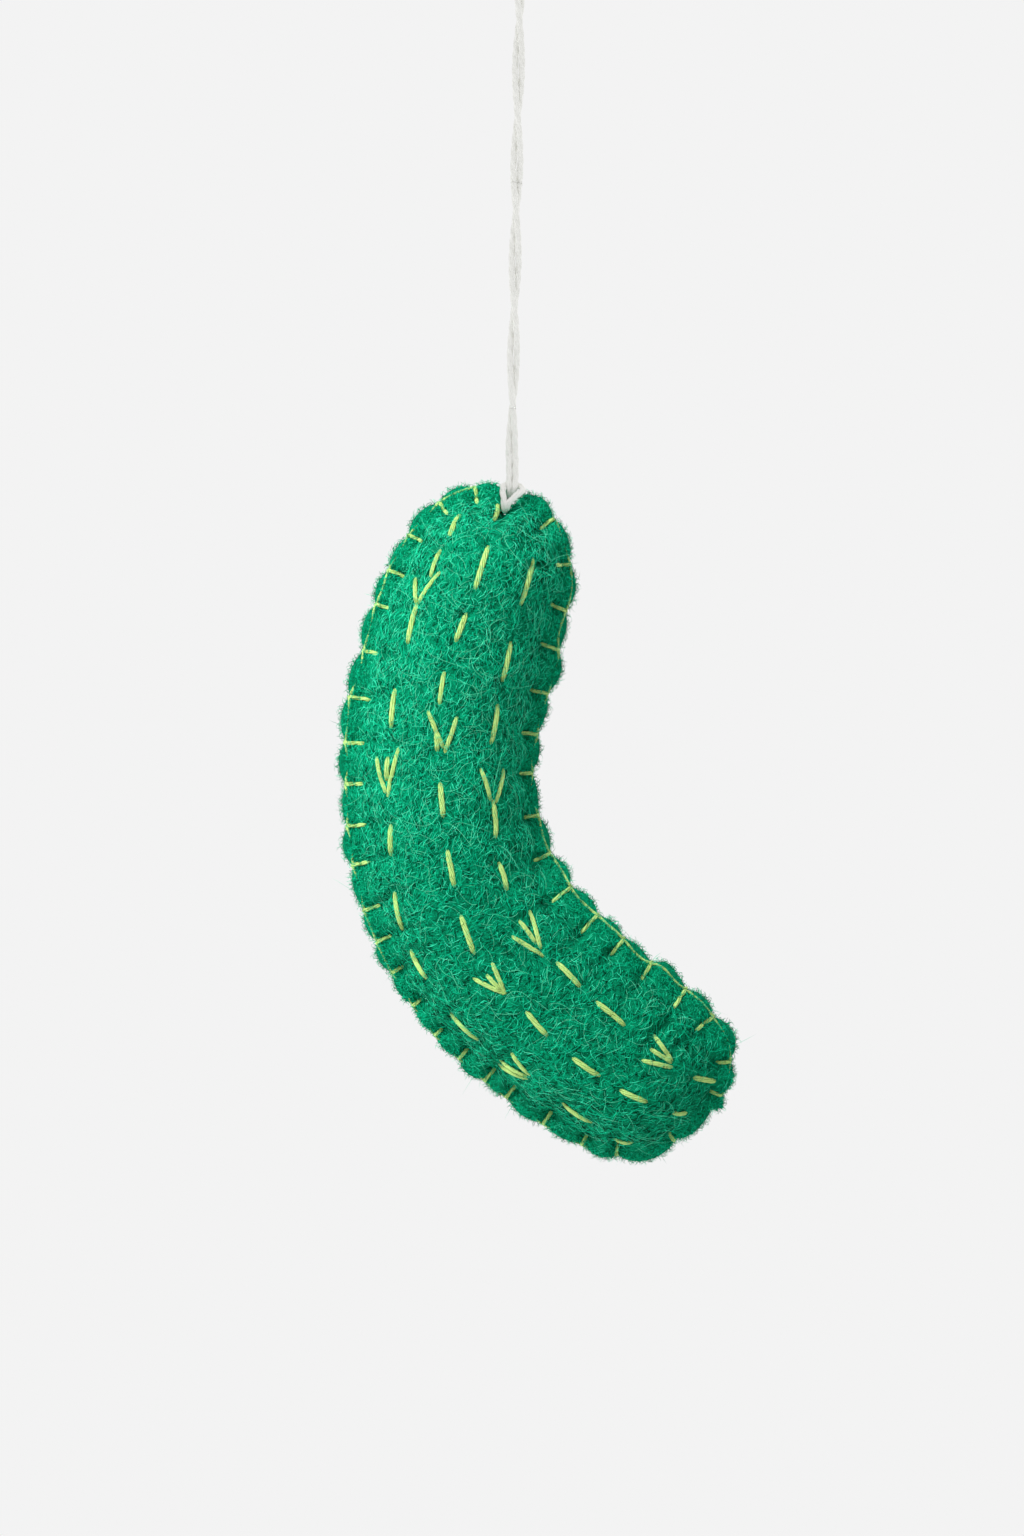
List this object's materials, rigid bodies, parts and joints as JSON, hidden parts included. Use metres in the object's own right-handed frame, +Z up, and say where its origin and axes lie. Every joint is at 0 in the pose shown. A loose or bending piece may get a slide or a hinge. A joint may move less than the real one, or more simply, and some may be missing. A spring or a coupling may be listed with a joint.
{
  "type": "felt pickle ornament",
  "caption": "Hanging pickle ornament: stuffed felt body in a curve, blanket-stitched edge, running stitch on the front, and a twisted cotton string with an eye to hang it by.",
  "frame": {"origin": "top inside of the hanging eye, where it bears on a hook", "axes": "+Z up along the hanging string, -Y towards the stitched front, +X to the right seen from the front"},
  "size_m": [0.0626, 0.0235, 0.2096],
  "materials": {
    "green_felt": "fuzzy wool felt",
    "filling": "loose fibre",
    "floss": "stranded cotton floss, slight sheen",
    "cotton_string": "matt twisted cotton"
  },
  "bodies": {
    "hanging_eye": {"hanging_eye": "cotton_string", "end_knot": "cotton_string"},
    "upper_string": {"upper_string": "cotton_string"},
    "lower_string": {"lower_string": "cotton_string"},
    "pickle": {"front_felt": "green_felt", "back_felt": "green_felt", "fibre_filling": "filling", "edge_stitch": "floss", "outer_row_stitch": "floss", "middle_row_stitch": "floss", "inner_row_stitch": "floss", "string_hitch": "cotton_string"}
  },
  "joints": [
    {"name": "string_swing", "type": "hinge", "parent": "hanging_eye", "child": "upper_string", "pos_m": [0, 0, -0.012], "axis": [0, 1, 0], "range_deg": [-40, 40]},
    {"name": "string_twist", "type": "hinge", "parent": "upper_string", "child": "lower_string", "pos_m": [0, 0, -0.0494], "axis": [0, 0, 1], "continuous": true},
    {"name": "pickle_nod", "type": "hinge", "parent": "lower_string", "child": "pickle", "pos_m": [0, 0, -0.0868], "axis": [1, 0, 0], "range_deg": [-30, 30]}
  ]
}
